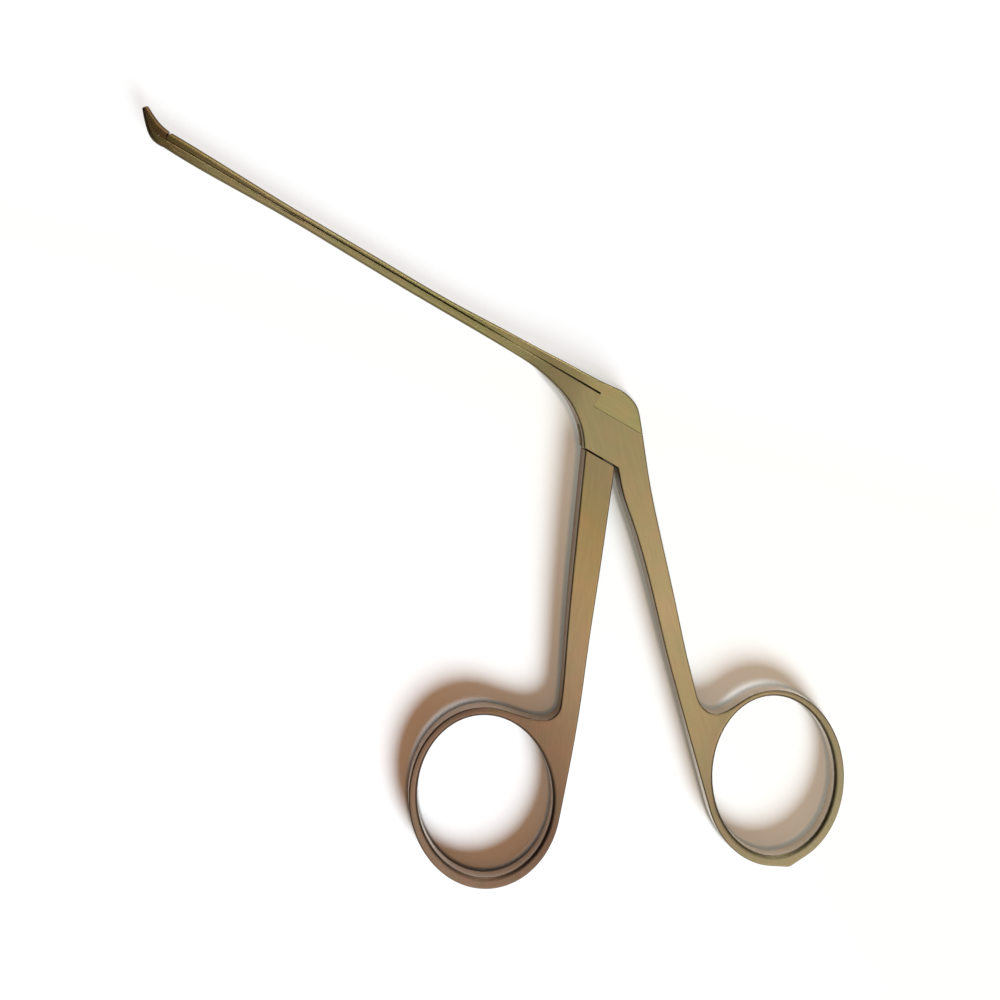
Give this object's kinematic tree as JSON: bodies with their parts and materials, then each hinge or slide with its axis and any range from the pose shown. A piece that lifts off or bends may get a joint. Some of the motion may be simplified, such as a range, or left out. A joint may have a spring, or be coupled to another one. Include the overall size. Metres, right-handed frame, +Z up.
{
  "type": "alligator forceps",
  "caption": "Slender grasping forceps with an upturned toothed jaw, a sliding shaft and two oval finger rings set at an angle to the shaft.",
  "frame": {"origin": "axis of the handle pivot, on the underside that the instrument lies on", "axes": "+X back along the slide from the jaws to the handles, +Y towards the side of the slide and the opening jaw, +Z up across the flat handles"},
  "size_m": [0.1484, 0.0811, 0.0048],
  "materials": {
    "frame_steel": "satin-ground stainless steel",
    "slide_steel": "satin-ground stainless steel",
    "handle_steel": "satin-ground stainless steel",
    "jaw_steel": "satin stainless steel, darker from hardening",
    "pin_steel": "stainless steel, ground flush"
  },
  "bodies": {
    "fixed_frame": {"rear_handle_and_lower_shaft": "frame_steel", "handle_pivot_pin": "pin_steel", "jaw_pivot_pin": "pin_steel"},
    "slide": {"sliding_shaft": "slide_steel", "slide_drive_pin": "pin_steel", "jaw_drive_pin": "pin_steel"},
    "front_handle": {"front_handle": "handle_steel"},
    "jaw": {"moving_jaw": "jaw_steel"}
  },
  "joints": [
    {"name": "handle_swing", "type": "hinge", "parent": "fixed_frame", "child": "front_handle", "pos_m": [0, 0, 0.0024], "axis": [0, 0, -1], "range_deg": [0, 9.92]},
    {"name": "slide_travel", "type": "slide", "parent": "fixed_frame", "child": "slide", "axis": [1, 0, 0], "range_m": [0, 0.000765]},
    {"name": "jaw_opening", "type": "hinge", "parent": "fixed_frame", "child": "jaw", "pos_m": [-0.07507, 0.00407, 0.0024], "axis": [0, 0, -1], "range_deg": [0, 40]}
  ],
  "couplings": [
    {"joint": "slide_travel", "follows": "handle_swing", "m_per_rad": 0.004411},
    {"joint": "jaw_opening", "follows": "handle_swing", "ratio": 4.029}
  ]
}
